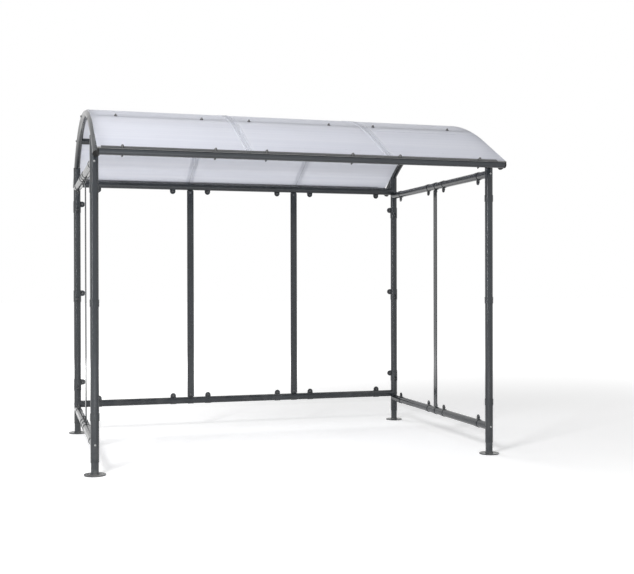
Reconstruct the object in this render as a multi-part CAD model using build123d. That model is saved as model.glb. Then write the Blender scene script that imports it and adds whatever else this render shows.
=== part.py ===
from build123d import *

import os
from math import acos, asin, atan2, cos, degrees, hypot, radians, sin, sqrt

# Open-frame bike shelter, in millimetres: +X to the right, +Y to the back, +Z up.
# Four round posts on disc feet carry two bent roof hoops, one at each end. Purlins and eave beams
# run between the hoops and carry three thin curved sheets. The back and the two sides are framed
# by rails and flat mullions, with lugs that take wall panels; the front is open.
# Everything is drawn about the middle of the four posts at ground level, and is shifted along Y
# at the end, so that the origin is under the middle of the whole shelter.

# ---- Overall sizes ----
BAY_WIDTH = 3000  # between post axes, left to right
BAY_DEPTH = 2000  # between post axes, front to back
POST_TOP_Z = 2347  # where a post meets the axis of its hoop
HOOP_RADIUS = 1850  # of the axis of the bent roof tubes
HOOP_OVERHANG = 200  # of the hoops beyond the posts, front and back

# ---- Tubes ----
POST_D = 60  # posts and wall rails
POST_WALL = 2.5
ROOF_D = 50  # hoops, purlins and eave beams
ROOF_WALL = 2
FIT = 0.2  # gap left where one round piece seats on another

# ---- Feet ----
FOOT_D = 152
FOOT_THICK = 8
FOOT_BOLTS = 4
FOOT_BOLT_CIRCLE = 114
FOOT_HOLE_D = 12
SPIGOT_WALL = 3
SPIGOT_SHOWN = 80  # bare length between the disc and the post
SPIGOT_HIDDEN = 90  # length inside the post

# ---- Rails and mullions ----
SIDE_LOW_RAIL_Z = 212
BACK_LOW_RAIL_Z = 257
SIDE_TOP_RAIL_DROP = 180  # below the post's top
BACK_TOP_RAIL_DROP = 141
MULLION_WIDTH = 60
MULLION_THICK = 8
MULLION_END_GAP = 2  # between a mullion's end and the collar it stands under
BACK_MULLION_X = 490  # each side of the middle

# ---- Panel lugs ----
LUG_THICK = 5
LUG_WIDTH = 50
LUG_REACH = 44  # from the tube's axis to the lug's hole
LUG_HOLE_D = 10
COLLAR_THICK = 3
LUG_FROM_POST = 185  # along a rail, from the post's axis
LUG_FROM_MULLION = 160
LUG_FROM_RAIL = 190  # along a post, from the side rails' axes
POST_LUG_LEVELS = 3
BACK_LUG_RISE = 50  # the back panels' lugs sit this much higher

# ---- Roof ----
FRONT_PURLIN_ANGLE = 21.2  # from the crown
REAR_PURLIN_ANGLE = 19.7
FRONT_BEAM_AHEAD = 19  # from the hoop's end to the front beam's skin, along the hoop's slope
FRONT_BEAM_RISE = 23  # from the hoop's back to the front beam's axis, square to that slope
REAR_BEAM_INSET = 8  # of the rear beam's seat, before the hoop's end
BEAM_CAP = 12
HOOP_CAP = 5
CAP_CHAMFER = 2
FIN_THICK = 8
FIN_WIDTH = 36
FIN_SEAT = 85  # how far the fin runs back along the hoop
SHEET_THICK = 4
SHEET_PAST_BEAM = 15
SHEET_PITCH = 1040  # of the left and middle sheets; the right one is cut to what is left
JOINT_WEB = 4
JOINT_FLANGE = 60
JOINT_THICK = 3
CLAMP_WIDTH = 30
CLAMP_THICK = 5
CLAMP_SHORT = 50  # of each clamp bar's end, inside the end of the roof
CLAMP_ASIDE = 25  # of both clamp bars, to the left

# ---- Worked out ----
HALF_WIDTH = BAY_WIDTH / 2
HALF_DEPTH = BAY_DEPTH / 2
POST_R = POST_D / 2
ROOF_R = ROOF_D / 2
HOOP_CENTRE_Z = POST_TOP_Z - sqrt(HOOP_RADIUS**2 - HALF_DEPTH**2)
CROWN_Z = HOOP_CENTRE_Z + HOOP_RADIUS  # of the hoops' axis
HOOP_END_ANGLE = degrees(asin((HALF_DEPTH + HOOP_OVERHANG) / HOOP_RADIUS))
SIDE_TOP_RAIL_Z = POST_TOP_Z - SIDE_TOP_RAIL_DROP
BACK_TOP_RAIL_Z = POST_TOP_Z - BACK_TOP_RAIL_DROP
POST_FOOT_Z = FOOT_THICK + SPIGOT_SHOWN
SHEET_RADIUS = HOOP_RADIUS + ROOF_R + FIT  # of the sheets' underside
FRONT, BACK = -1, 1
PURLINS = {"front": -FRONT_PURLIN_ANGLE, "ridge": 0, "rear": REAR_PURLIN_ANGLE}
SHEETS = ("left", "middle", "right")


def on_hoop(angle, lift=0.0):
    """(y, z) at an angle from the crown, towards the back, and a height over the hoop's axis."""
    radius = HOOP_RADIUS + lift
    return radius * sin(radians(angle)), HOOP_CENTRE_Z + radius * cos(radians(angle))


def front_beam_axis():
    """(y, z) of the front eave beam, which the fins hold beyond and above the hoops' ends."""
    y, z = on_hoop(-HOOP_END_ANGLE, ROOF_R + FRONT_BEAM_RISE)
    ahead = FRONT_BEAM_AHEAD + ROOF_R
    slope = radians(HOOP_END_ANGLE)
    return y - ahead * cos(slope), z - ahead * sin(slope)


def rear_beam_axis():
    """(y, z) of the rear eave beam, which lies on top of the hoops."""
    inset = degrees(REAR_BEAM_INSET / HOOP_RADIUS)
    return on_hoop(HOOP_END_ANGLE - inset, ROOF_D + FIT)


BEAM_AXIS = {FRONT: front_beam_axis(), BACK: rear_beam_axis()}


class Eave:
    """Where the sheets leave the arc, to run straight over one eave beam."""

    def __init__(self, side):
        y, z = BEAM_AXIS[side]
        rise = z - HOOP_CENTRE_Z
        from_crown = atan2(abs(y), rise)
        beyond = acos((SHEET_RADIUS - ROOF_R - FIT) / hypot(y, rise))
        self.side = side
        self.slope = from_crown - beyond
        self.straight = hypot(y, rise) * sin(beyond)

    def point(self, lift, past_arc):
        """(y, z) at a height over the sheet's underside and a length past the end of the arc."""
        out = (SHEET_RADIUS + lift) * sin(self.slope) + past_arc * cos(self.slope)
        up = (SHEET_RADIUS + lift) * cos(self.slope) - past_arc * sin(self.slope)
        return self.side * out, HOOP_CENTRE_Z + up


EAVES = {side: Eave(side) for side in (FRONT, BACK)}


# ---- Basic shapes ----
def rod(start, end, diameter):
    """A round bar from one point to another."""
    axis = Vector(*end) - Vector(*start)
    return extrude(Plane(start, z_dir=axis) * Circle(diameter / 2), amount=axis.length)


def tube(start, end, diameter, wall):
    return rod(start, end, diameter) - rod(start, end, diameter - 2 * wall)


def bent_bar(x, diameter, half_angle):
    """A round bar bent along a hoop's axis, as far to the front as to the back."""
    axis = Axis((x, 0, HOOP_CENTRE_Z), (1, 0, 0))
    section = Plane.XZ * Pos(x, CROWN_Z) * Circle(diameter / 2)
    return revolve(section, axis, 2 * half_angle).rotate(axis, -half_angle)


def across(outline, x_start, x_end):
    """A (y, z) outline, pulled along X."""
    return extrude(Plane.YZ.offset(x_start) * outline, amount=x_end - x_start)


# ---- Posts and feet ----
def post_axis(side, end):
    return side * HALF_WIDTH, end * HALF_DEPTH


def hoop_room(x):
    """The space a hoop takes with its caps, and their fit, for what is cut to it."""
    cap_angle = degrees((HOOP_CAP + FIT) / HOOP_RADIUS)
    return bent_bar(x, ROOF_D + 2 * FIT, HOOP_END_ANGLE + cap_angle)


def post(side, end):
    """A tube that slips over its foot's spigot and is notched at the top to cradle the hoop."""
    x, y = post_axis(side, end)
    return tube((x, y, POST_FOOT_Z), (x, y, POST_TOP_Z), POST_D, POST_WALL) - hoop_room(x)


def foot(side, end):
    """A drilled disc with a spigot standing on it."""
    x, y = post_axis(side, end)
    spigot_d = POST_D - 2 * POST_WALL - 2 * FIT
    spigot_top = POST_FOOT_Z + SPIGOT_HIDDEN
    disc = rod((x, y, 0), (x, y, FOOT_THICK), FOOT_D)
    holes = PolarLocations(FOOT_BOLT_CIRCLE / 2, FOOT_BOLTS, 180 / FOOT_BOLTS)
    for hole in holes:
        disc -= Pos(x, y, FOOT_THICK / 2) * hole * Cylinder(FOOT_HOLE_D / 2, FOOT_THICK)
    return disc + tube((x, y, FOOT_THICK), (x, y, spigot_top), spigot_d, SPIGOT_WALL)


# ---- Wall rails ----
def post_room(side, end):
    x, y = post_axis(side, end)
    return rod((x, y, 0), (x, y, POST_TOP_Z), POST_D + 2 * FIT)


def back_rail(z):
    """A rail between the back posts, fish-mouthed at both ends to sit against them."""
    rail = tube((-HALF_WIDTH, HALF_DEPTH, z), (HALF_WIDTH, HALF_DEPTH, z), POST_D, POST_WALL)
    return rail - post_room(-1, BACK) - post_room(1, BACK)


def side_rail(side, z, back_rail_z):
    """A rail between a front and a back post. It is also notched round the back rail, which
    meets the same post a little higher."""
    x = side * HALF_WIDTH
    rail = tube((x, -HALF_DEPTH, z), (x, HALF_DEPTH, z), POST_D, POST_WALL)
    corner = rod((-HALF_WIDTH, HALF_DEPTH, back_rail_z), (HALF_WIDTH, HALF_DEPTH, back_rail_z),
                 POST_D + 2 * FIT)
    return (rail - post_room(side, FRONT) - post_room(side, BACK) - corner).solids().sort_by(
        SortBy.VOLUME)[-1]


# ---- Panel lugs ----
def lug_places(half_span, mullions):
    """Places of the lugs along a rail: one behind each mullion, one either side of it, and one
    beside each post."""
    places = [half_span - LUG_FROM_POST, LUG_FROM_POST - half_span]
    for mullion in mullions:
        places += [mullion - LUG_FROM_MULLION, mullion, mullion + LUG_FROM_MULLION]
    return sorted(places)


def lug(tube_d):
    """A flat lug with a round end and a hole, reaching out along +X from a tube along Z. The
    root is hollowed to seat on the tube."""
    end = Pos(LUG_REACH) * Circle(LUG_WIDTH / 2)
    outline = Pos(LUG_REACH / 2) * Rectangle(LUG_REACH, LUG_WIDTH) + end
    outline -= Pos(LUG_REACH) * Circle(LUG_HOLE_D / 2)
    plate = extrude(Plane.XZ * outline, amount=LUG_THICK / 2, both=True)
    return plate - Cylinder(tube_d / 2 + FIT, LUG_WIDTH + 2)


def collar_lug(tube_d, turns=(0,)):
    """A collar round a tube along Z, carrying a lug at each turn. Each further lug has its own
    collar on top of the last, as one casting."""
    height = LUG_WIDTH + (len(turns) - 1) * BACK_LUG_RISE
    middle = (len(turns) - 1) * BACK_LUG_RISE / 2
    inner = tube_d / 2 + FIT
    band = Cylinder(inner + COLLAR_THICK, height) - Cylinder(inner, height)
    piece = Pos(0, 0, middle) * band
    for step, turn in enumerate(turns):
        piece += Pos(0, 0, step * BACK_LUG_RISE) * Rot(0, 0, turn) * lug(tube_d)
    return piece


def post_lugs(side, end):
    """The lugs of one post: side-panel lugs that point along the side wall and, on a back post,
    back-panel lugs above them that point along the back wall."""
    x, y = post_axis(side, end)
    along_side = 90 if end == FRONT else -90
    along_back = 180 if side > 0 else 0
    turns = (along_side,) if end == FRONT else (along_side, along_back)
    lowest = SIDE_LOW_RAIL_Z + LUG_FROM_RAIL
    pitch = (SIDE_TOP_RAIL_Z - LUG_FROM_RAIL - lowest) / (POST_LUG_LEVELS - 1)
    levels = [lowest + level * pitch for level in range(POST_LUG_LEVELS)]
    return [Pos(x, y, z) * collar_lug(POST_D, turns) for z in levels]


def rail_lug(up):
    """A collar on a rail along X, with its lug pointing straight up (1) or down (-1)."""
    return Rot(0, -90 * up, 0) * collar_lug(POST_D)


def back_rail_lugs(z, up):
    places = lug_places(HALF_WIDTH, (-BACK_MULLION_X, BACK_MULLION_X))
    return [Pos(x, HALF_DEPTH, z) * rail_lug(up) for x in places]


def side_rail_lugs(side, z, up):
    places = lug_places(HALF_DEPTH, (0,))
    return [Pos(side * HALF_WIDTH, y, z) * Rot(0, 0, 90) * rail_lug(up) for y in places]


# ---- Mullions ----
def mullion(low_rail_z, top_rail_z):
    """A flat bar that stands against the inner face of the lugs, between two rails. It is drawn
    at the middle of the back wall, with its outer face on Y = 0."""
    collar_r = POST_R + FIT + COLLAR_THICK
    low = low_rail_z + collar_r + MULLION_END_GAP
    height = top_rail_z - collar_r - MULLION_END_GAP - low
    inner_face = Pos(0, -LUG_THICK / 2 - MULLION_THICK / 2, low + height / 2)
    return inner_face * Box(MULLION_WIDTH, MULLION_THICK, height)


def back_mullion(side):
    return Pos(side * BACK_MULLION_X, HALF_DEPTH) * mullion(BACK_LOW_RAIL_Z, BACK_TOP_RAIL_Z)


def side_mullion(side):
    turn = Rot(0, 0, -90 * side)
    return Pos(side * HALF_WIDTH) * turn * mullion(SIDE_LOW_RAIL_Z, SIDE_TOP_RAIL_Z)


# ---- Roof frame ----
def hoop(side):
    x = side * HALF_WIDTH
    outer = bent_bar(x, ROOF_D, HOOP_END_ANGLE)
    return outer - bent_bar(x, ROOF_D - 2 * ROOF_WALL, HOOP_END_ANGLE)


def purlin(angle):
    """A tube between the hoops, with its ends cut to their round sides."""
    y, z = on_hoop(angle)
    bar = tube((-HALF_WIDTH, y, z), (HALF_WIDTH, y, z), ROOF_D, ROOF_WALL)
    return bar - hoop_room(-HALF_WIDTH) - hoop_room(HALF_WIDTH)


def eave_beam(eave):
    y, z = BEAM_AXIS[eave]
    reach = HALF_WIDTH - BEAM_CAP
    return tube((-reach, y, z), (reach, y, z), ROOF_D, ROOF_WALL)


def cap(thick):
    """A plastic cap for a roof tube, with its outer face up, seated on Z = 0."""
    disc = Pos(0, 0, thick / 2) * Cylinder(ROOF_R, thick)
    return chamfer(disc.edges().group_by(Axis.Z)[-1], CAP_CHAMFER)


def beam_caps(eave):
    y, z = BEAM_AXIS[eave]
    reach = HALF_WIDTH - BEAM_CAP
    return [Pos(side * reach, y, z) * Rot(0, 90 * side, 0) * cap(BEAM_CAP) for side in (-1, 1)]


def hoop_caps(side):
    """The caps on the front and back end of one hoop."""
    caps = []
    for end in (FRONT, BACK):
        y, z = on_hoop(end * HOOP_END_ANGLE)
        out = Rot(-end * (90 + HOOP_END_ANGLE), 0, 0)
        caps.append(Pos(side * HALF_WIDTH, y, z) * out * cap(HOOP_CAP))
    return caps


def beam_fin(side):
    """The flat fin that holds the front beam beyond a hoop's end. It is a plate in the hoop's
    plane, hollowed to seat on the hoop's back and on the beam."""
    beam_y, beam_z = BEAM_AXIS[FRONT]
    back = degrees(FIN_SEAT / HOOP_RADIUS)
    outline = Polygon(
        on_hoop(-HOOP_END_ANGLE),
        on_hoop(-HOOP_END_ANGLE, FIN_WIDTH),
        (beam_y, beam_z + FIN_WIDTH / 2),
        (beam_y, beam_z),
        align=None,
    )
    outline += Polygon(
        on_hoop(-HOOP_END_ANGLE),
        on_hoop(back - HOOP_END_ANGLE),
        on_hoop(back - HOOP_END_ANGLE, FIN_WIDTH),
        (beam_y, beam_z + FIN_WIDTH / 2),
        align=None,
    )
    x = side * (HALF_WIDTH - BEAM_CAP - FIN_THICK / 2)
    plate = across(outline, x - FIN_THICK / 2, x + FIN_THICK / 2)
    beam = rod((x - FIN_THICK, beam_y, beam_z), (x + FIN_THICK, beam_y, beam_z), ROOF_D + 2 * FIT)
    return plate - beam - hoop_room(side * HALF_WIDTH)


# ---- Roof covering ----
def roof_outline(low, high, past_beam):
    """The (y, z) outline of a layer that follows the roof: an arc over the hoops, then straight
    on over both eave beams and past_beam beyond them. low and high are heights over the sheets'
    underside."""
    corners = {
        (side, lift, part): EAVES[side].point(lift, length)
        for side in (FRONT, BACK)
        for lift in (low, high)
        for part, length in (("arc", 0), ("edge", EAVES[side].straight + past_beam))
    }
    lines = []
    for lift in (low, high):
        crown = (0, HOOP_CENTRE_Z + SHEET_RADIUS + lift)
        ends = [corners[side, lift, "arc"] for side in (FRONT, BACK)]
        lines.append(ThreePointArc(ends[0], crown, ends[1]))
        lines += [
            Line(corners[side, lift, "arc"], corners[side, lift, "edge"]) for side in (FRONT, BACK)
        ]
    lines += [
        Line(corners[side, low, "edge"], corners[side, high, "edge"]) for side in (FRONT, BACK)
    ]
    return make_face(lines)


def joint_x(number):
    """The middle of the joint to the right of a sheet."""
    return (number + 1) * SHEET_PITCH - HALF_WIDTH


def sheet_edges(number):
    """Left and right edge of one sheet, short of the joints by the web and its fit."""
    gap = JOINT_WEB / 2 + FIT
    left = joint_x(number - 1) + gap if number > 0 else -HALF_WIDTH
    right = joint_x(number) - gap if number < len(SHEETS) - 1 else HALF_WIDTH
    return left, right


def roof_sheet(number):
    left, right = sheet_edges(number)
    return across(roof_outline(0, SHEET_THICK, SHEET_PAST_BEAM), left, right)


def roof_joint(number):
    """The T-shaped strip that covers the joint right of a sheet, short of the clamp bars."""
    x = joint_x(number)
    short = -CLAMP_WIDTH / 2 - 2
    web = across(roof_outline(FIT, SHEET_THICK, short), x - JOINT_WEB / 2, x + JOINT_WEB / 2)
    flange = across(
        roof_outline(SHEET_THICK, SHEET_THICK + JOINT_THICK, short),
        x - JOINT_FLANGE / 2,
        x + JOINT_FLANGE / 2,
    )
    return web + flange


def clamp_bar(eave):
    """The flat bar that holds the sheets down on an eave beam."""
    edge = EAVES[eave]
    y, z = edge.point(SHEET_THICK + CLAMP_THICK / 2, edge.straight)
    length = BAY_WIDTH - 2 * CLAMP_SHORT
    slope = Rot(-eave * degrees(edge.slope), 0, 0)
    return Pos(-CLAMP_ASIDE, y, z) * slope * Box(length, CLAMP_WIDTH, CLAMP_THICK)


# ---- All the pieces ----
SIDES = {"left": -1, "right": 1}
ENDS = {"front": FRONT, "back": BACK}


def shelter():
    """Every named piece, as a list of solids."""
    pieces = {}
    for side_name, side in SIDES.items():
        for end_name, end in ENDS.items():
            pieces[f"{end_name}_{side_name}_post"] = [post(side, end)]
            pieces[f"{end_name}_{side_name}_post_lugs"] = post_lugs(side, end)
        for level, z, back_z, up in (
            ("top", SIDE_TOP_RAIL_Z, BACK_TOP_RAIL_Z, -1),
            ("bottom", SIDE_LOW_RAIL_Z, BACK_LOW_RAIL_Z, 1),
        ):
            pieces[f"{side_name}_{level}_rail"] = [side_rail(side, z, back_z)]
            pieces[f"{side_name}_{level}_rail_lugs"] = side_rail_lugs(side, z, up)
        pieces[f"{side_name}_mullion"] = [side_mullion(side)]
        pieces[f"{side_name}_hoop"] = [hoop(side)]
        pieces[f"back_mullion_{side_name}"] = [back_mullion(side)]
    for level, z, up in (("top", BACK_TOP_RAIL_Z, -1), ("bottom", BACK_LOW_RAIL_Z, 1)):
        pieces[f"back_{level}_rail"] = [back_rail(z)]
        pieces[f"back_{level}_rail_lugs"] = back_rail_lugs(z, up)
    for end_name, end in ENDS.items():
        pieces[f"{end_name}_feet"] = [foot(side, end) for side in SIDES.values()]
    pieces["hoop_end_caps"] = hoop_caps(-1) + hoop_caps(1)
    for eave_name, eave in (("front", FRONT), ("rear", BACK)):
        pieces[f"{eave_name}_eave_beam"] = [eave_beam(eave)]
        pieces[f"{eave_name}_beam_caps"] = beam_caps(eave)
        pieces[f"{eave_name}_clamp_bar"] = [clamp_bar(eave)]
    pieces["front_beam_fins"] = [beam_fin(side) for side in SIDES.values()]
    for name, angle in PURLINS.items():
        pieces[f"{name}_purlin"] = [purlin(angle)]
    for number, name in enumerate(SHEETS):
        pieces[f"{name}_roof_sheet"] = [roof_sheet(number)]
    for number, name in enumerate(("left", "right")):
        pieces[f"{name}_roof_joint"] = [roof_joint(number)]
    return pieces


def main():
    os.makedirs("parts", exist_ok=True)
    pieces = shelter()
    everything = Compound(children=[copy for solids in pieces.values() for copy in solids])
    bounds = everything.bounding_box()
    shift_y = -(bounds.min.Y + bounds.max.Y) / 2
    print("size", bounds.size, "shift along Y", round(shift_y, 4), "pieces", len(pieces))
    for name, solids in pieces.items():
        part = Compound(children=[Pos(0, shift_y) * solid for solid in solids])
        export_step(part, f"parts/{name}.step")


main()
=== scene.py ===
# %% [markdown]
# # An open bike shelter
# Round steel posts carry two bent roof tubes, and three translucent sheets lie over them. The
# construction comes finished from the CAD model, so this lesson adds what CAD leaves out: the
# finishes, the small fasteners and weld beads, and the light. Everything is in metres, with +X to
# the right, +Y to the back and the ground at Z = 0.

import math

import bmesh
import bpy
import numpy as np
from mathutils import Euler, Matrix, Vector


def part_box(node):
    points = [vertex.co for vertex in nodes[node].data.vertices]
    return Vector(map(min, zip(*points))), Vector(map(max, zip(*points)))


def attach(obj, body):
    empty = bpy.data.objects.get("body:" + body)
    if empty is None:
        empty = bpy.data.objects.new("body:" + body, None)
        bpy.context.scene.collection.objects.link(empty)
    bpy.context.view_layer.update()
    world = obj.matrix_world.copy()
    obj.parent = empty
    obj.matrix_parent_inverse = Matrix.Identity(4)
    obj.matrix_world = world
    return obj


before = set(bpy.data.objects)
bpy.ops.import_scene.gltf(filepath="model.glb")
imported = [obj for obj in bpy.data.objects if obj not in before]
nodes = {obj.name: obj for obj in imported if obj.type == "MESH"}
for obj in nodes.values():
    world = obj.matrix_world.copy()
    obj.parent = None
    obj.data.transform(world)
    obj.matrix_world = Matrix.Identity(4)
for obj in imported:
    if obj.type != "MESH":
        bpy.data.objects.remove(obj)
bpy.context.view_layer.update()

# %% [markdown]
# ## Where things are
# A fastener has to sit exactly on its tube, so its place is worked out from the CAD pieces and not
# typed in. The middles of their boxes give the axes of the tubes. The largest face of a clamp bar
# gives the slope of the eave that it lies on. A circle through the ridge purlin and the front
# purlin, which both sit on the bent tubes' axis, gives the centre that the roof is bent about.


# %% Read the axes of the tubes
def middle(node):
    """The middle of a CAD node's box."""
    low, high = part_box(node)
    return np.array((low + high) / 2)


def extent(node):
    """Width, depth and height of a CAD node's box."""
    low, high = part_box(node)
    return np.array(high - low)


POST_AXIS = {
    (side, end): middle(f"{end}_{side}_post")
    for side in ("left", "right")
    for end in ("front", "back")
}
POST_RADIUS = extent("front_left_post")[0] / 2
ROOF_TUBE_RADIUS = extent("ridge_purlin")[2] / 2
ridge, front_purlin = middle("ridge_purlin"), middle("front_purlin")
run, drop = front_purlin[1] - ridge[1], ridge[2] - front_purlin[2]
BEND_RADIUS = (run**2 + drop**2) / (2 * drop)
BEND_CENTRE = np.array((0, ridge[1], ridge[2] - BEND_RADIUS))
print("post radius", round(POST_RADIUS, 4), "roof tube radius", round(ROOF_TUBE_RADIUS, 4))
print("roof bent to", round(BEND_RADIUS, 4), "about", BEND_CENTRE.round(4))

# %% Read the slope of the eaves
FACES_UP = 0.1  # least upward part of the normal of a face that counts as a top


def top_face(node):
    """Middle and normal of the largest upward face of a flat CAD bar."""
    faces = [face for face in nodes[node].data.polygons if face.normal.z > FACES_UP]
    largest = max(faces, key=lambda face: face.area)
    return np.array(largest.center), np.array(largest.normal)


EAVE = {}
for eave in ("front", "rear"):
    on_top, normal = top_face(f"{eave}_clamp_bar")
    EAVE[eave] = {"normal": normal, "beam": middle(f"{eave}_eave_beam"), "top": on_top}
    print(eave, "eave tilts", round(math.degrees(math.acos(normal[2])), 1), "degrees")

# %% [markdown]
# ## Writing a finish as a sum
# A shader tree can be wired up by hand in the editor, but it is easier to read and to repeat when
# its sums look like sums. `Wire` holds one output of a node and turns +, - and * into Math nodes.
# `Finish` holds one node tree, and its `node` method adds any other node: first its settings, then
# the values or wires of its sockets.


# %% A socket that can be added and multiplied
class Wire:
    """One output socket. Arithmetic on wires and numbers adds Math nodes."""

    def __init__(self, finish, socket):
        self.finish = finish
        self.socket = socket

    def maths(self, operation, first, second):
        values = {0: first, 1: second}
        return self.finish.node("ShaderNodeMath", {"operation": operation}, values)

    def __add__(self, other):
        return self.maths("ADD", self, other)

    def __radd__(self, other):
        return self.maths("ADD", other, self)

    def __sub__(self, other):
        return self.maths("SUBTRACT", self, other)

    def __rsub__(self, other):
        return self.maths("SUBTRACT", other, self)

    def __mul__(self, other):
        return self.maths("MULTIPLY", self, other)

    def __rmul__(self, other):
        return self.maths("MULTIPLY", other, self)

    def larger(self, other):
        return self.maths("MAXIMUM", self, other)


# %% A node tree under construction
class Finish:
    """A node tree under construction, of a material or of the world."""

    def __init__(self, tree):
        self.tree = tree

    def node(self, kind, settings=None, sockets=None, out=0):
        """Adds a node and returns one of its outputs. Settings are its own properties, and sockets
        are values or wires, by name or by number."""
        new = self.tree.nodes.new(kind)
        for key, value in (settings or {}).items():
            setattr(new, key, value)
        for key, value in (sockets or {}).items():
            self.plug(new.inputs[key], value)
        return Wire(self, new.outputs[out])

    def plug(self, socket, value):
        """Links a wire to a socket, or writes a value in it."""
        if isinstance(value, Wire):
            self.tree.links.new(value.socket, socket)
        else:
            socket.default_value = value

    def blend(self, share, first, second):
        """The first colour, and as much of the second as share says."""
        settings = {"data_type": "RGBA", "clamp_factor": True}
        return self.node("ShaderNodeMix", settings, {0: share, 6: first, 7: second}, out=2)

    def place(self, stretch=(1, 1, 1)):
        """Object coordinates, multiplied along each axis. Under 1 draws a pattern out."""
        where = self.node("ShaderNodeTexCoord", out="Object")
        return self.node("ShaderNodeMapping", None, {"Vector": where, "Scale": stretch})

    def noise(self, scale, detail=2.0, stretch=(1, 1, 1), rough=0.5):
        """Smooth random values from 0 to 1, with features of about 1/scale metres."""
        sockets = {"Vector": self.place(stretch), "Scale": scale, "Detail": detail}
        return self.node("ShaderNodeTexNoise", None, {**sockets, "Roughness": rough})

    def part_of(self, vector, letter):
        """One coordinate of a vector."""
        return self.node("ShaderNodeSeparateXYZ", None, {"Vector": vector}, out=letter)

    def spread(self, value, low, high):
        """How far value lies on the way from low to high, from 0 to 1, eased at both ends."""
        settings = {"interpolation_type": "SMOOTHSTEP"}
        sockets = {"Value": value, "From Min": low, "From Max": high}
        return self.node("ShaderNodeMapRange", settings, sockets)

    def bump(self, strength, distance, height):
        """A normal that tilts as a surface would if height stood distance metres high."""
        sockets = {"Strength": strength, "Distance": distance, "Height": height}
        return self.node("ShaderNodeBump", None, sockets)


# %% A new material
def new_finish(name):
    """A material, its node tree as a Finish, and the sockets of its Principled shader."""
    material = bpy.data.materials.new(name)
    material.use_nodes = True
    finish = Finish(material.node_tree)
    return material, finish, material.node_tree.nodes["Principled BSDF"].inputs


def grey_blue(level, blue=0.0):
    """A neutral colour of that linear level, cooler by a share blue."""
    return (level * (1 - blue), level, level * (1 + blue), 1)


print("a cool grey:", grey_blue(0.5, 0.02))

# %% [markdown]
# ## Powder coat
# The steel is powder coated in a dark slate grey. The powder melts into a glossy skin, which
# mirrors a bright surrounding most where the eye looks along a tube. A very fine ripple, called
# orange peel, wavers those reflections: it is a few hundredths of a millimetre high, so its bump
# is weak. A film of dust lies on faces that look up and round the feet, and it is paler and
# duller than the paint. It could be painted on by hand, but noise on Object coordinates, together
# with the height and the slope of the surface, puts it in the right places on every piece at once.

# %% The paint, its ripple and its dust
DUST_TONE = (0.30, 0.29, 0.27, 1)
SPLASH_TOP = 0.45  # rain throws dirt up the posts to here
DARKER, PALER = 0.9, 1.12  # how far the coat's tone drifts
PEEL_HEIGHT = 0.00005
PAINT_IOR = 1.5


def powder_coat(name, colour, gloss_roughness, dust_amount):
    """A coat whose tone drifts slowly, with dust on it. dust_amount 0 leaves it clean."""
    material, paint, shader = new_finish(name)
    cloud = paint.noise(2.2, 3)
    drift = paint.noise(9, 4)
    speck = paint.noise(420, 2)
    up = paint.part_of(paint.node("ShaderNodeNewGeometry", out="Normal"), "Z")
    height = paint.part_of(paint.place(), "Z")
    # Dust lies in drifts where the surface looks up, and is splashed on near the ground.
    lying = paint.spread(up, 0.35, 0.95) * paint.spread(drift, 0.3, 0.75)
    splashed = (1 - paint.spread(height, 0.01, SPLASH_TOP)) * paint.spread(drift, 0.42, 0.7)
    dust = (lying * 0.7 + splashed * 0.5) * dust_amount
    deep = tuple(DARKER * part for part in colour[:3]) + (1,)
    pale = tuple(PALER * part for part in colour[:3]) + (1,)
    tone = paint.blend(paint.spread(cloud, 0.3, 0.7), deep, pale)
    paint.plug(shader["Base Color"], paint.blend(dust, tone, DUST_TONE))
    paint.plug(shader["Roughness"], gloss_roughness + cloud * 0.05 + speck * 0.03 + dust * 0.5)
    paint.plug(shader["Normal"], paint.bump(0.12, PEEL_HEIGHT, paint.noise(260, 1)))
    shader["IOR"].default_value = PAINT_IOR
    return material


SLATE = (0.017, 0.020, 0.0235, 1)
SCUFFED_SLATE = (0.026, 0.030, 0.034, 1)
# The clamp bars wear the frame's own paint; their darker slate is painted shade.
SHADED_SLATE = (0.014, 0.016, 0.018, 1)
frame_paint = powder_coat("frame_paint", SLATE, gloss_roughness=0.14, dust_amount=0.2)
foot_paint = powder_coat("foot_paint", SCUFFED_SLATE, gloss_roughness=0.16, dust_amount=0.45)
clamp_paint = powder_coat("clamp_paint", SHADED_SLATE, gloss_roughness=0.34, dust_amount=0.0)
print("paint level", SLATE[:3])

# %% [markdown]
# ## Black plastic caps
# The open ends of the roof tubes are closed by moulded caps. Moulded polyethylene is nearly black
# and softly dull, with a spark-eroded grain that is felt rather than seen. It mirrors less than
# paint does, which a low index of refraction gives. Noise does for the grain, because it is far
# too fine to model.

# %% The caps
PLASTIC_IOR = 1.33
GRAIN_HEIGHT = 0.0001


def moulded_plastic(name):
    """Black with a slow cloud in it, dull where the grain is high."""
    material, plastic, shader = new_finish(name)
    grain = plastic.noise(900, 2)
    cloud = plastic.noise(14, 3)
    plastic.plug(shader["Base Color"], plastic.blend(cloud, grey_blue(0.002), grey_blue(0.004)))
    plastic.plug(shader["Roughness"], 0.42 + grain * 0.14)
    shader["IOR"].default_value = PLASTIC_IOR
    plastic.plug(shader["Normal"], plastic.bump(0.4, GRAIN_HEIGHT, grain))
    return material


cap_plastic = moulded_plastic("cap_plastic")
print("made", cap_plastic.name)
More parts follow.
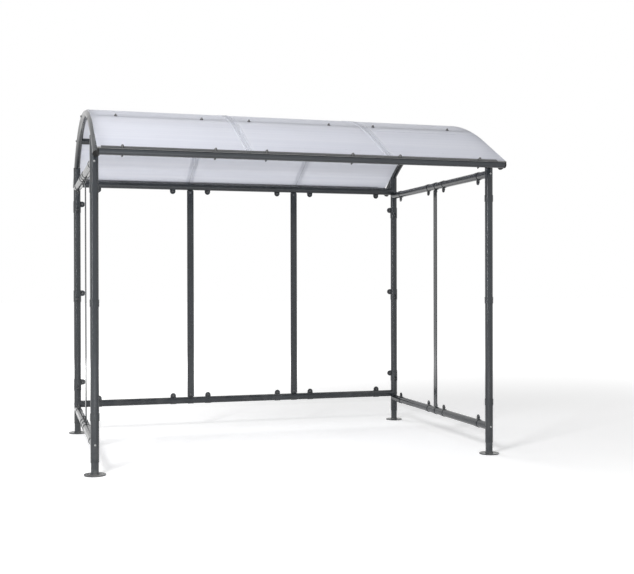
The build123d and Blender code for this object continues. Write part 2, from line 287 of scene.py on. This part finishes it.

# %% [markdown]
# ## Translucent sheet
# The roof is a thin frosted polycarbonate sheet. Some light goes straight through, some comes out
# spread on the far side, and the rest comes back as a soft pale blue white. A Translucent shader
# mixed into a Principled one does that better than clear glass would, because glass in a path
# tracer throws a solid shadow. Extruding the sheet leaves faint lines and bending it leaves wide
# ripples, and both run along the roof, parallel to its ridge, so their noise is drawn out along X.
# They tilt the surface through a bump, and the colour is paler along them: a painted reflection.
# Beyond the middle of each clamp bar the sheet is painted dark and opaque, as painted shade of the
# gap under the bar.

# %% The sheet
EDGE_FADE = 0.004  # width over which the painted shade under the clamp bars begins
# The frost's colour runs between these two tones in painted reflection streaks.
FROST_DEEP, FROST_SHEEN = (0.54, 0.555, 0.62, 1), (0.63, 0.64, 0.69, 1)
# The colour of the painted shade in the gap under each clamp bar
CLAMP_SHADE_TONE = grey_blue(0.10)
THROUGH_TONE = (0.90, 0.91, 0.95, 1)
STRAIGHT_SHARE = 0.20  # of the light goes straight through a clean sheet
SPREAD_SHARE = 0.38  # of the rest comes out spread
RIPPLE_HEIGHT = 0.0015


def frosted_sheet(name):
    """The sheet's finish. Its painted shade lies beyond the middle of each clamp bar, in Y."""
    material, sheet, shader = new_finish(name)
    ripples = sheet.noise(5, 1, stretch=(0.08, 1, 1))
    lines = sheet.noise(34, 1, stretch=(0.012, 1, 1))
    dust = sheet.noise(35, 5, rough=0.65)
    # Painted reflection: the colour is paler along the lines and ripples, where a gloss would
    # catch the light.
    streak_sheen = sheet.spread(lines * 0.55 + ripples * 0.45, 0.34, 0.66)
    tone = sheet.blend(streak_sheen, FROST_DEEP, FROST_SHEEN)
    # Painted shade: beyond the middle of each clamp bar the sheet turns dark and opaque, and
    # spreads no light through.
    y = sheet.part_of(sheet.place(), "Y")
    front, rear = EAVE["front"]["top"][1], EAVE["rear"]["top"][1]
    before = 1 - sheet.spread(y, front, front + EDGE_FADE)
    clamp_shade = before.larger(sheet.spread(y, rear - EDGE_FADE, rear))
    sheet.plug(shader["Base Color"], sheet.blend(clamp_shade, tone, CLAMP_SHADE_TONE))
    sheet.plug(shader["Roughness"], 0.22 + lines * 0.10 + dust * 0.06)
    sheet.plug(shader["Alpha"], 1 - STRAIGHT_SHARE + clamp_shade * STRAIGHT_SHARE)
    bumped = sheet.bump(0.15, RIPPLE_HEIGHT, ripples * 0.9 + lines * 0.1)
    sheet.plug(shader["Normal"], bumped)
    through = {"Color": THROUGH_TONE, "Normal": bumped}
    through = sheet.node("ShaderNodeBsdfTranslucent", None, through)
    principled = Wire(sheet, sheet.tree.nodes["Principled BSDF"].outputs[0])
    share = SPREAD_SHARE - clamp_shade * SPREAD_SHARE
    mixed = sheet.node("ShaderNodeMixShader", None, {0: share, 1: principled, 2: through})
    sheet.plug(sheet.tree.nodes["Material Output"].inputs["Surface"], mixed)
    return material


roof_sheet = frosted_sheet("roof_sheet")
print("of the light", STRAIGHT_SHARE, "goes straight through", roof_sheet.name)

# %% [markdown]
# ## Joint strips
# A clear T-shaped strip covers each joint between two sheets. Its cap is thin and hardly shows,
# but its two lips are thicker and its web stands edge on to the light, so these catch more of it.
# The lips could be modelled, but they are only a millimetre thicker and show by their shine, so
# the finish draws them with a paler tone, which is a painted highlight, and makes lips and web
# less clear. Lips and web are found by their distance from the strip's middle, which comes from
# the CAD piece.

# %% The strips
LIP_WIDTH, LIP_FADE = 0.006, 0.001
WEB_HALF, WEB_FADE = 0.003, 0.003
CLEAR_DEEP, CLEAR_PALE = (0.64, 0.66, 0.73, 1), (0.70, 0.72, 0.78, 1)
LIP_HIGHLIGHT_TONE = (0.80, 0.82, 0.88, 1)
CLOUD_HEIGHT = 0.0003


def clear_strip(name, centre, half_width):
    """A strip along Y whose middle is at X = centre. Its body is nearly clear."""
    material, strip, shader = new_finish(name)
    x = strip.part_of(strip.place(), "X")
    from_middle = strip.node("ShaderNodeMath", {"operation": "ABSOLUTE"}, {0: x - centre})
    inside_lip = half_width - LIP_WIDTH
    lip = strip.spread(from_middle, inside_lip - LIP_FADE, inside_lip)
    web = 1 - strip.spread(from_middle, WEB_HALF, WEB_HALF + WEB_FADE)
    cloud = strip.noise(6, 3)
    body = strip.blend(cloud, CLEAR_DEEP, CLEAR_PALE)
    # Painted highlight: the lips take a paler tone.
    strip.plug(shader["Base Color"], strip.blend(lip, body, LIP_HIGHLIGHT_TONE))
    strip.plug(shader["Roughness"], 0.24 + cloud * 0.1)
    strip.plug(shader["Alpha"], 0.26 + lip * 0.34 + web * 0.30)
    strip.plug(shader["Normal"], strip.bump(0.2, CLOUD_HEIGHT, strip.noise(12, 2)))
    return material


joint_strips = {}
for side in ("left", "right"):
    joint = f"{side}_roof_joint"
    half_width = extent(joint)[0] / 2
    joint_strips[joint] = clear_strip(f"{side}_joint_strip", middle(joint)[0], half_width)
    print(joint, "is", round(2 * half_width, 4), "wide")

# %% [markdown]
# ## Zinc
# Bolts, nuts and washers are zinc plated, and have dulled outdoors. Zinc is a metal, so its
# colour is the colour of its reflections, not of light that sinks in, so Metallic is 1. Its tone
# and roughness vary in small patches, where it has weathered more or less.

# %% The zinc
PITTING_HEIGHT = 0.0001


def zinc_plate(name, level):
    """Zinc of that brightness, with patches a quarter darker."""
    material, zinc, shader = new_finish(name)
    patch = zinc.noise(120, 3)
    tone = zinc.blend(patch, grey_blue(level * 0.75, 0.02), grey_blue(level))
    zinc.plug(shader["Base Color"], tone)
    zinc.plug(shader["Roughness"], 0.34 + patch * 0.2)
    shader["Metallic"].default_value = 1.0
    zinc.plug(shader["Normal"], zinc.bump(0.3, PITTING_HEIGHT, zinc.noise(500, 2)))
    return material


bright_zinc = zinc_plate("bright_zinc", level=0.40)
dull_zinc = zinc_plate("dull_zinc", level=0.15)
print("made", bright_zinc.name, "and", dull_zinc.name)

# %% [markdown]
# ## Finishing the CAD pieces
# A CAD piece keeps its shape and only changes material. It could be listed with its finish by
# name, but the names' endings say what kind of piece it is, so a short table of endings does, and
# all that it doesn't name is frame paint.

# %% Give each CAD piece its finish
FINISH_OF = {
    "_feet": foot_paint,
    "_clamp_bar": clamp_paint,
    "_caps": cap_plastic,
    "_roof_sheet": roof_sheet,
    **joint_strips,
}
for name, piece in nodes.items():
    finish = next((FINISH_OF[end] for end in FINISH_OF if name.endswith(end)), frame_paint)
    piece.data.materials.clear()
    piece.data.materials.append(finish)
print("finished", len(nodes), "pieces")

# %% [markdown]
# ## Turned and hexagonal fasteners
# A washer, a dome and a nut are all a profile turned about an axis. A hexagonal head is the same
# surface with its radius cut down to the distance of the nearest flat, so one function makes
# them all: radius = the smaller of the profile's radius and the hexagon's radius at that angle.
# Cones and cylinders could be added and joined instead, but a profile also gives the rounded rims
# and cut corners that catch the light. Each profile starts and ends on the axis, where the grid's
# points are merged into one.

# %% Grids of points
STEPS_ROUND = 24


def grid_faces(rows, columns, ring=False):
    """Four-sided faces between the rows of a grid whose last column joins the first. In a ring
    the last row joins the first too."""
    row = np.arange(rows if ring else rows - 1)[:, None]
    column = np.arange(columns)[None, :]
    above = (row + 1) % rows
    beside = (column + 1) % columns
    corners = (row * columns + column, row * columns + beside)
    corners += (above * columns + beside, above * columns + column)
    return np.stack(corners, axis=-1).reshape(-1, 4)


def round_angles():
    """Angles round the axis, as one row."""
    return np.arange(STEPS_ROUND)[None, :] * 2 * math.pi / STEPS_ROUND


def hexagon_radius(angle, across_flats):
    """Distance from the axis to a hexagon's side: half its width across flats, over the cosine of
    the angle from the nearest flat's middle."""
    from_flat = (angle + math.pi / 6) % (math.pi / 3) - math.pi / 6
    return across_flats / 2 / np.cos(from_flat)


def surface(radius, angle, height):
    """Points at arrays of radius, angle and height about Z."""
    return np.stack((radius * np.cos(angle), radius * np.sin(angle), height + 0 * angle), axis=-1)


def turned(profile, across_flats=None):
    """The points of a profile of (radius, height) pairs, turned about Z. With across_flats, no
    point lies outside that hexagon."""
    profile = np.array(profile, float)
    angle = round_angles()
    radius = profile[:, :1] + 0 * angle
    if across_flats:
        radius = np.minimum(radius, hexagon_radius(angle, across_flats))
    return surface(radius, angle, profile[:, 1:])


print("a grid of 3 by", STEPS_ROUND, "points has", len(grid_faces(3, STEPS_ROUND)), "faces")

# %% [markdown]
# ## Many copies in one mesh
# The same bolt comes back at dozens of places. Linked copies would be lighter, but each would be
# an object of its own, and the exported model would have hundreds of pieces. So the grid is turned
# and moved to every place, and all copies become one mesh. A fastener is drawn along Z, and its
# axis at a place points away from the surface that it sits on.

# %% Copies at many places, joined in one mesh
MERGE_WITHIN = 1e-5  # closer points are one, such as those of a profile's end on the axis
SHARP_ANGLE = math.radians(35)
UPRIGHT = 1e-6  # an axis leaning less than this has no level direction of its own


def turn_to(axis):
    """A rotation, as rows, that carries Z to axis, with the new X level where it can be."""
    z = np.array(axis, float) / np.linalg.norm(axis)
    across = np.cross((0, 0, 1), z)
    lean = np.linalg.norm(across)
    x = across / lean if lean > UPRIGHT else np.array((1.0, 0, 0))
    return np.stack((x, np.cross(z, x), z))


def make_piece(name, points, faces, material):
    """A mesh from arrays of points and faces, with its doubled points merged."""
    mesh = bpy.data.meshes.new(name)
    mesh.from_pydata(points.reshape(-1, 3).tolist(), [], faces.tolist())
    work = bmesh.new()
    work.from_mesh(mesh)
    bmesh.ops.remove_doubles(work, verts=work.verts, dist=MERGE_WITHIN)
    bmesh.ops.recalc_face_normals(work, faces=work.faces)
    open_edges = sum(not edge.is_manifold for edge in work.edges)
    work.to_mesh(mesh)
    work.free()
    mesh.materials.append(material)
    mesh.shade_smooth()
    mesh.set_sharp_from_angle(angle=SHARP_ANGLE)
    piece = bpy.data.objects.new(name, mesh)
    bpy.context.scene.collection.objects.link(piece)
    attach(piece, "root")
    print(name, "has", len(mesh.polygons), "faces and", open_edges, "open edges")
    return piece


def repeat(name, shells, places, material, ring=False):
    """Copies of one fastener's shells at (point, axis) places, as one piece."""
    points, faces, start = [], [], 0
    for point, axis in places:
        rotation = turn_to(axis)
        for shell in shells:
            points.append(shell.reshape(-1, 3) @ rotation + np.array(point))
            faces.append(grid_faces(*shell.shape[:2], ring) + start)
            start += shell.shape[0] * shell.shape[1]
    return make_piece(name, np.concatenate(points), np.concatenate(faces), material)


print("turning Z to +X lays X along", turn_to((1, 0, 0))[0].round(3))

# %% [markdown]
# ## The kinds of fastener
# Four shapes make all the fasteners: a washer, a hexagonal head, a low dome and a thread. A thread
# could be a screw modifier on a small triangle. As a surface it is simpler: the radius rises and
# falls along the shank, and the whole pattern climbs by one pitch a turn. The thread is only made
# where it leaves its nut, because nobody sees the rest.


# %% The four shapes
RIM_SHARE = 0.3  # of a washer's thickness is cut off its edge
SHOULDER, CROWN = 0.8, 0.93  # a head's corners are cut from this height to this width
DOME_STEPS = 7
THREAD_DEPTH = 0.6  # in pitches
ROWS_A_PITCH = 6


def washer(outer, thick, base=0.0):
    """A flat ring with a slightly rounded rim. Its hole is hidden under the head."""
    rim = thick * RIM_SHARE
    profile = ((0, base), (outer - rim, base), (outer, base + rim))
    profile += ((outer, base + thick - rim), (outer - rim, base + thick), (0, base + thick))
    return turned(profile)


def hex_head(across_flats, height, base=0.0):
    """A hexagonal head: a prism cut by a cone at the top, which rounds its corners off."""
    flat = across_flats / 2
    corner = flat / math.cos(math.pi / 6)
    profile = ((0, base), (corner, base), (corner, base + height * SHOULDER))
    profile += ((flat * CROWN, base + height), (0, base + height))
    return turned(profile, across_flats)


def dome(radius, height, base=0.0):
    """A low round head: a quarter ellipse turned about its axis."""
    angle = np.linspace(0, math.pi / 2, DOME_STEPS)
    curve = [(radius * math.cos(a), base + height * math.sin(a)) for a in angle]
    return turned([(0, base)] + curve)


def thread(diameter, pitch, low, high):
    """A threaded shank. The crest climbs by one pitch a turn, and the radius falls from it by
    the thread's depth times the distance to the nearest crest, in half pitches. The end is
    chamfered at 45 degrees: no radius is more than the root's plus the height left."""
    depth = THREAD_DEPTH * pitch
    rows = ROWS_A_PITCH * math.ceil((high - low) / pitch) + 1
    height = np.linspace(low, high, rows)[:, None]
    angle = round_angles()
    turns = height / pitch - angle / (2 * math.pi)
    from_crest = np.abs((turns % 1) * 2 - 1)
    root = diameter / 2 - depth
    radius = np.minimum(diameter / 2 - depth * from_crest, root + (high - height))
    radius = np.concatenate((0 * angle, radius, 0 * angle))
    height = np.concatenate(([[low]], height, [[high]]))
    return surface(radius, angle, height)


print("a washer is a grid of", washer(0.010, 0.002).shape[:2], "points")

# %% Heads and nuts built from them
THREAD_DIAMETER = 0.008
THREAD_PITCH = 0.00125
SPANNER_WIDTH = 0.013  # across the flats of the heads and nuts of that thread
NUT_HEIGHT = 0.0065
CAP_SUNK = 0.0005  # depth of a domed cap's foot in its head


def hex_bolt(washer_radius, washer_thick, head_height, base=0.0):
    """A washer and a plain hexagonal head."""
    head = hex_head(SPANNER_WIDTH, head_height, base + washer_thick)
    return [washer(washer_radius, washer_thick, base), head]


def capped_bolt(washer_radius, washer_thick, across_flats, head_height, cap_radius, cap_height):
    """A washer, a hexagonal head and the domed cap that keeps the rain out."""
    cap = dome(cap_radius, cap_height, washer_thick + head_height - CAP_SUNK)
    head = hex_head(across_flats, head_height, washer_thick)
    return [washer(washer_radius, washer_thick), head, cap]


def nut(washer_radius, washer_thick, thread_low, thread_high, base=0.0):
    """A washer, a nut and the end of the thread, which starts inside the nut."""
    end = thread(THREAD_DIAMETER, THREAD_PITCH, base + thread_low, base + thread_high)
    return hex_bolt(washer_radius, washer_thick, NUT_HEIGHT, base) + [end]


print("a capped bolt is", len(capped_bolt(0.015, 0.003, 0.019, 0.008, 0.0085, 0.008)), "shells")

# %% [markdown]
# ## Bolts along the eaves
# Each clamp bar is bolted down through the sheet and the eave beam, with two bolts to each third
# of the bay. They stand square to the eave's slope, and a nut and the thread show under the beam.
# The bars sit a little left of the roof's middle, and the bolts go with them. Each hexagonal head,
# here and on the screws over the purlins, wears a small domed cap.

# %% Bolts of the clamp bars
BOLT_PAIR = 0.632
PAIR_PITCH = 0.993
BAR_MIDDLE = middle("front_clamp_bar")[0]
PAIR_MIDDLES = [BAR_MIDDLE + third * PAIR_PITCH for third in (-1, 0, 1)]
ROOF_BOLT_X = [pair + side * BOLT_PAIR / 2 for pair in PAIR_MIDDLES for side in (-1, 1)]
NUT_SEAT = ROOF_TUBE_RADIUS - 0.0005  # a flat washer sinks into the round tube a little
eave_bolt = capped_bolt(
    washer_radius=0.015,
    washer_thick=0.003,
    across_flats=0.019,
    head_height=0.008,
    cap_radius=0.0085,
    cap_height=0.008,
)
eave_nut = nut(washer_radius=0.010, washer_thick=0.002, thread_low=0.007, thread_high=0.013)
head_places, nut_places = [], []
for eave in EAVE.values():
    normal, top, beam = eave["normal"], eave["top"], eave["beam"]
    height = (top - beam) @ normal
    for x in ROOF_BOLT_X:
        axis_point = np.array((x, beam[1], beam[2]))
        head_places.append((axis_point + normal * height, normal))
        nut_places.append((axis_point - normal * NUT_SEAT, -normal))
repeat("eave_bolts", eave_bolt, head_places, dull_zinc)
repeat("eave_nuts", eave_nut, nut_places, dull_zinc)

# %% [markdown]
# ## Screws over the purlins
# The sheets are also screwed down to the three purlins, almost in line with the eave bolts. A
# screw stands straight out from the bend, so its axis runs from the centre of the bend through
# the purlin, and its foot is where that line leaves the sheet. Casting a ray on the sheet would
# find the same point, but the circle gives it in one line.

# %% Purlin screws
SCREWS_ASIDE = 0.012  # right of the eave bolts
PURLINS = ("front_purlin", "ridge_purlin", "rear_purlin")
SHEET_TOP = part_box("middle_roof_sheet")[1].z - ridge[2]  # over the purlins' circle
capped_screw = capped_bolt(
    washer_radius=0.013,
    washer_thick=0.003,
    across_flats=0.016,
    head_height=0.007,
    cap_radius=0.0072,
    cap_height=0.0075,
)
screw_places = []
for purlin in PURLINS:
    away = middle(purlin) - BEND_CENTRE
    away[0] = 0
    away /= np.linalg.norm(away)
    for x in ROOF_BOLT_X:
        over_purlin = BEND_CENTRE + away * (BEND_RADIUS + SHEET_TOP)
        screw_places.append((over_purlin + (x + SCREWS_ASIDE, 0, 0), away))
repeat("purlin_screws", capped_screw, screw_places, dull_zinc)

# %% [markdown]
# ## Bolts through the posts and hoops
# A rail is held by one bolt through the post at its end, so a small round head shows on the far
# side of the post. A purlin is held by one bolt through each bent roof tube. Both seats are the
# tube's radius from its axis, less the little that a flat washer sinks into a round tube.

# %% Post bolts
LEFT_RIGHT = {"left": -1, "right": 1}
FRONT_BACK = {"front": -1, "back": 1}
POST_SEAT = POST_RADIUS - 0.0004
post_bolt = [washer(0.0075, 0.0012), dome(0.0062, 0.004, base=0.0012)]
post_bolt_places = []
for (side, end), (x, y, _) in POST_AXIS.items():
    out_x, out_y = LEFT_RIGHT[side], FRONT_BACK[end]
    for level in ("top", "bottom"):
        z = middle(f"{side}_{level}_rail")[2]
        post_bolt_places.append(((x, y + out_y * POST_SEAT, z), (0, out_y, 0)))
        if end == "back":
            z = middle(f"back_{level}_rail")[2]
            post_bolt_places.append(((x + out_x * POST_SEAT, y, z), (out_x, 0, 0)))
repeat("post_bolts", post_bolt, post_bolt_places, bright_zinc)

# %% Hoop bolts
HOOP_SEAT = ROOF_TUBE_RADIUS - 0.0008
hoop_bolt = hex_bolt(washer_radius=0.010, washer_thick=0.0018, head_height=0.0055)
hoop_bolt_places = []
for side, out_x in LEFT_RIGHT.items():
    seat_x = middle(f"{side}_hoop")[0] + out_x * HOOP_SEAT
    for purlin in PURLINS:
        hoop_bolt_places.append(((seat_x, *middle(purlin)[1:]), (out_x, 0, 0)))
repeat("hoop_bolts", hoop_bolt, hoop_bolt_places, dull_zinc)

# %% [markdown]
# ## Bolts in the lugs
# Every lug holds a bolt, ready for a wall panel, with its head on the inner side. The CAD model
# keeps all lugs of a rail or a post in one piece, so the piece is taken apart here: points that
# share a triangle get the same number, the lowest number spreads from neighbour to neighbour
# until nothing changes, and each number left is one lug with its collar. Blender can separate
# loose parts too, but that would change the CAD piece, and only the places are needed.


# %% Take a CAD piece apart
SPOT_DECIMALS = 5  # corners this close in metres are one spot


def solid_boxes(node):
    """Low and high corners of each separate solid in a CAD node."""
    mesh = nodes[node].data
    places = np.empty(len(mesh.vertices) * 3)
    mesh.vertices.foreach_get("co", places)
    places = places.reshape(-1, 3).round(SPOT_DECIMALS)
    spots, spot_of = np.unique(places, axis=0, return_inverse=True)
    corners = np.empty(len(mesh.loops), int)
    mesh.loops.foreach_get("vertex_index", corners)
    triangles = spot_of.ravel()[corners].reshape(-1, 3)
    number = np.arange(len(spots))
    settled = False
    while not settled:
        lower = number.copy()
        lowest = np.repeat(number[triangles].min(axis=1), 3)
        np.minimum.at(lower, triangles.ravel(), lowest)
        settled = bool((lower == number).all())
        number = lower
    groups = [spots[number == value] for value in np.unique(number)]
    return [(group.min(axis=0), group.max(axis=0)) for group in groups]


front_collars = solid_boxes("front_left_post_lugs")
print("the front left post has", len(front_collars), "collars with a lug")

# %% Find the holes of the lugs
LUG_HALF_WIDTH = (front_collars[0][1][2] - front_collars[0][0][2]) / 2
lug_holes = []  # (place, direction inwards)
for level, up in (("top", -1), ("bottom", 1)):
    for wall in ("left", "right", "back"):
        inward = (0, -1, 0) if wall == "back" else (-LEFT_RIGHT[wall], 0, 0)
        for low, high in solid_boxes(f"{wall}_{level}_rail_lugs"):
            tip = high[2] if up > 0 else low[2]
            x, y = (low[:2] + high[:2]) / 2
            lug_holes.append(((x, y, tip - up * LUG_HALF_WIDTH), inward))
for (side, end), (x, y, _) in POST_AXIS.items():
    inward_x, inward_y = -LEFT_RIGHT[side], -FRONT_BACK[end]
    for low, high in solid_boxes(f"{end}_{side}_post_lugs"):
        tip_y = high[1] if inward_y > 0 else low[1]
        place = (x, tip_y - inward_y * LUG_HALF_WIDTH, low[2] + LUG_HALF_WIDTH)
        lug_holes.append((place, (inward_x, 0, 0)))
        if end == "back":
            tip_x = high[0] if inward_x > 0 else low[0]
            place = (tip_x - inward_x * LUG_HALF_WIDTH, y, high[2] - LUG_HALF_WIDTH)
            lug_holes.append((place, (0, -1, 0)))
print(len(lug_holes), "lugs")

# %% Bolts and nuts of the lugs
LUG_HALF_THICK = 0.0025
LUG_WASHER_RADIUS, LUG_WASHER_THICK = 0.0085, 0.0016
lug_bolt = hex_bolt(LUG_WASHER_RADIUS, LUG_WASHER_THICK, head_height=0.0053, base=LUG_HALF_THICK)
lug_nut = nut(
    LUG_WASHER_RADIUS,
    LUG_WASHER_THICK,
    thread_low=0.0075,
    thread_high=0.012,
    base=LUG_HALF_THICK,
)
outside = [(place, tuple(-part for part in inward)) for place, inward in lug_holes]
repeat("lug_bolts", lug_bolt, lug_holes, dull_zinc)
repeat("lug_nuts", lug_nut, outside, dull_zinc)

# %% [markdown]
# ## Screws of the mullions
# A mullion is the flat upright bar in a wall. One screw near each of its ends holds it, with a low
# round head that stands barely proud. The bar's box is thinnest across its flat face, which says
# how far that face is from the middle.

# %% Mullion screws
SCREW_FROM_END = 0.018
INWARD_OF = {
    "back_mullion_left": (0, -1),
    "back_mullion_right": (0, -1),
    "left_mullion": (1, 0),
    "right_mullion": (-1, 0),
}
low_screw = [dome(0.0075, 0.0018)]
mullion_screw_places = []
for mullion, inward in INWARD_OF.items():
    centre, size = middle(mullion), extent(mullion)
    face = centre[:2] + np.array(inward) * min(size[:2]) / 2
    for end in (-1, 1):
        z = centre[2] + end * (size[2] / 2 - SCREW_FROM_END)
        mullion_screw_places.append(((*face, z), (*inward, 0)))
repeat("mullion_screws", low_screw, mullion_screw_places, dull_zinc)

# %% [markdown]
# ## Weld beads
# The spigot of each foot is welded to its disc. A weld bead is a small round section carried
# round the joint. Its middle lies in the corner between the two, so about a quarter of it shows.
# Its size rises and falls as the puddle of metal froze, a few millimetres at a time. A torus with
# a texture on it would have the same outline all round, so the ripple is part of the shape.

# %% Weld beads round the spigots
BEAD_STEPS = 168
BEAD_SECTION = 12
BEAD_SIZE = 0.005
BEAD_RIPPLES, RIPPLE_SHARE = 42, 0.12
SLOW_WAVES, WAVE_SHARE = 5, 0.06
FOOT_TOP = 0.008
SPIGOT_RADIUS = POST_RADIUS - 0.0027  # inside the post's wall, with a little room


def bead(radius, size):
    """A ring of round section about Z: radius = the joint's, plus the section's size times the
    cosine of its angle, and height = the size times the sine. The size ripples round the ring."""
    around = np.linspace(0, 2 * math.pi, BEAD_STEPS, endpoint=False)[None, :]
    section = np.linspace(0, 2 * math.pi, BEAD_SECTION, endpoint=False)[:, None]
    ripples = RIPPLE_SHARE * np.cos(BEAD_RIPPLES * around)
    swell = size * (1 + ripples + WAVE_SHARE * np.sin(SLOW_WAVES * around + 1))
    return surface(radius + swell * np.cos(section), around, swell * np.sin(section))


weld_places = [((x, y, FOOT_TOP), (0, 0, 1)) for x, y, _ in POST_AXIS.values()]
spigot_bead = bead(SPIGOT_RADIUS, BEAD_SIZE)
repeat("foot_welds", [spigot_bead], weld_places, foot_paint, ring=True)

# %% [markdown]
# ## A white floor
# The floor and the air behind are white. A white floor can't be lit to white without burning out
# the object, so the floor adds a glow of its own that only the camera and mirrors see, and the
# shadow still darkens the rest. The glow grows with distance, where the lamps no longer reach, so
# that no horizon shows.

# %% Floor
FLOOR_REACH = 60.0
FLOOR_WHITE = (0.80, 0.80, 0.80, 1)
NEAR_GLOW = 0.36
FAR_GLOW = 1.0
GLOW_GROWS_TO = 11.0  # metres from the middle


def glow_rays(finish):
    """1 for the camera's rays, and for what mirrors and glass show, and 0 for the rest."""
    path = "ShaderNodeLightPath"
    seen = finish.node(path, out="Is Camera Ray")
    seen = seen.larger(finish.node(path, out="Is Glossy Ray"))
    return seen.larger(finish.node(path, out="Is Transmission Ray"))


def floor_finish():
    """A dull white that also glows, more with distance."""
    material, floor, _ = new_finish("floor_white")
    white = floor.node("ShaderNodeBsdfDiffuse", None, {"Color": FLOOR_WHITE})
    length = {"operation": "LENGTH"}
    distance = floor.node("ShaderNodeVectorMath", length, {0: floor.place()}, out=1)
    far = floor.spread(distance, 0.0, GLOW_GROWS_TO)
    level = NEAR_GLOW + far * (FAR_GLOW - NEAR_GLOW)
    glow = {"Color": (1, 1, 1, 1), "Strength": glow_rays(floor) * level}
    glow = floor.node("ShaderNodeEmission", None, glow)
    both = floor.node("ShaderNodeAddShader", None, {0: white, 1: glow})
    floor.plug(floor.tree.nodes["Material Output"].inputs["Surface"], both)
    return material


floor_mesh = bpy.data.meshes.new("floor")
corners = [(x * FLOOR_REACH, y * FLOOR_REACH, 0) for x, y in ((-1, -1), (1, -1), (1, 1), (-1, 1))]
floor_mesh.from_pydata(corners, [], [(0, 1, 2, 3)])
floor_mesh.materials.append(floor_finish())
floor = bpy.data.objects.new("floor", floor_mesh)
bpy.context.scene.collection.objects.link(floor)
print("the floor glows", NEAR_GLOW, "here and", FAR_GLOW, "far away")

# %% [markdown]
# ## White air
# The world is plain white to the camera, and to what paint and plastic mirror, but it lights the
# object only faintly. A world that lit it at full strength would leave no side darker than another
# and no shadow.

# %% World
SKY_LEVEL = 0.08
world = bpy.data.worlds.new("white_room")
bpy.context.scene.world = world
world.use_nodes = True
air = Finish(world.node_tree)
background = world.node_tree.nodes["Background"].inputs
air.plug(background["Strength"], SKY_LEVEL + glow_rays(air) * (1 - SKY_LEVEL))
background["Color"].default_value = (1, 1, 1, 1)
print("the air lights the object at", SKY_LEVEL)

# %% [markdown]
# ## Lamps
# The key light is a soft box above the front left corner. A wide, low soft box far behind shines
# through the roof from the back, a pale wall at the left gives the paint something to mirror, and
# a narrow strip draws the highlight down the posts. A small lamp in front reaches under the roof.
# It and the lamp behind are kept out of reflections, where they would be hard spots. Rectangles
# are used throughout, because their edges are what a studio's soft boxes leave in glossy paint.


# %% Lamps
def soft_box(name, place, aim, width, height, brightness, mirrored=True):
    """A rectangular lamp that faces a point. Its power is its brightness times pi times its area,
    because a flat lamp spreads its light over a half sphere."""
    lamp = bpy.data.lights.new(name, "AREA")
    lamp.shape = "RECTANGLE"
    lamp.size, lamp.size_y = width, height
    lamp.energy = brightness * math.pi * width * height
    holder = bpy.data.objects.new(name, lamp)
    bpy.context.scene.collection.objects.link(holder)
    holder.location = place
    holder.visible_camera = False
    holder.visible_glossy = mirrored
    holder.rotation_euler = (Vector(aim) - Vector(place)).to_track_quat("-Z", "Y").to_euler()
    print(name, "lamp gives", round(lamp.energy), "W")


soft_box(
    "key", place=(-4.2, -5.4, 5.4), aim=(-0.3, 0, 1.5), width=1.6, height=1.6, brightness=46
)
soft_box(
    "behind",
    place=(-3.5, 8.5, 3.4),
    aim=(0, 0.8, 2.3),
    width=5,
    height=2.5,
    brightness=15,
    mirrored=False,
)
soft_box(
    "left_wall", place=(-9, -1.5, 2.5), aim=(0, -1.5, 2.5), width=10, height=5, brightness=0.35
)
soft_box(
    "strip", place=(-7.6, -4.5, 2.0), aim=(-1.5, -1.0, 2.0), width=0.22, height=2.6, brightness=34
)
soft_box(
    "fill",
    place=(-2.0, -7.9, 1.63),
    aim=(0, 1, 2.2),
    width=0.12,
    height=0.12,
    brightness=11500,
    mirrored=False,
)

# %% [markdown]
# ## Camera
# The camera stands left of the middle, at chest height, so it sees under the roof and over it at
# once. It looks to the right and almost level, which keeps the posts upright. Turned further it
# would centre the shelter, but a small sideways shift of the frame does that without leaning the
# lines that run across.

# %% Camera
CAMERA_PLACE = Vector((-2.0118, -7.8894, 1.3260))
CAMERA_TURN = math.radians(16.0)
CAMERA_TILT = math.radians(-0.235)
CAMERA_ROLL = math.radians(0.119)
SENSOR_WIDTH_MM = 36
LENS_MM = 55.78
SIDEWAYS_SHIFT = 0.0285
camera_data = bpy.data.cameras.new("camera")
camera_data.sensor_width = SENSOR_WIDTH_MM
camera_data.lens = LENS_MM
camera_data.shift_x = SIDEWAYS_SHIFT
camera = bpy.data.objects.new("camera", camera_data)
bpy.context.scene.collection.objects.link(camera)
camera.location = CAMERA_PLACE
camera.rotation_euler = Euler((math.pi / 2 + CAMERA_TILT, CAMERA_ROLL, -CAMERA_TURN))
bpy.context.scene.camera = camera
bpy.context.scene.view_settings.view_transform = "Standard"
print("camera", round((CAMERA_PLACE - Vector(ridge)).length, 2), "m from the ridge's middle")
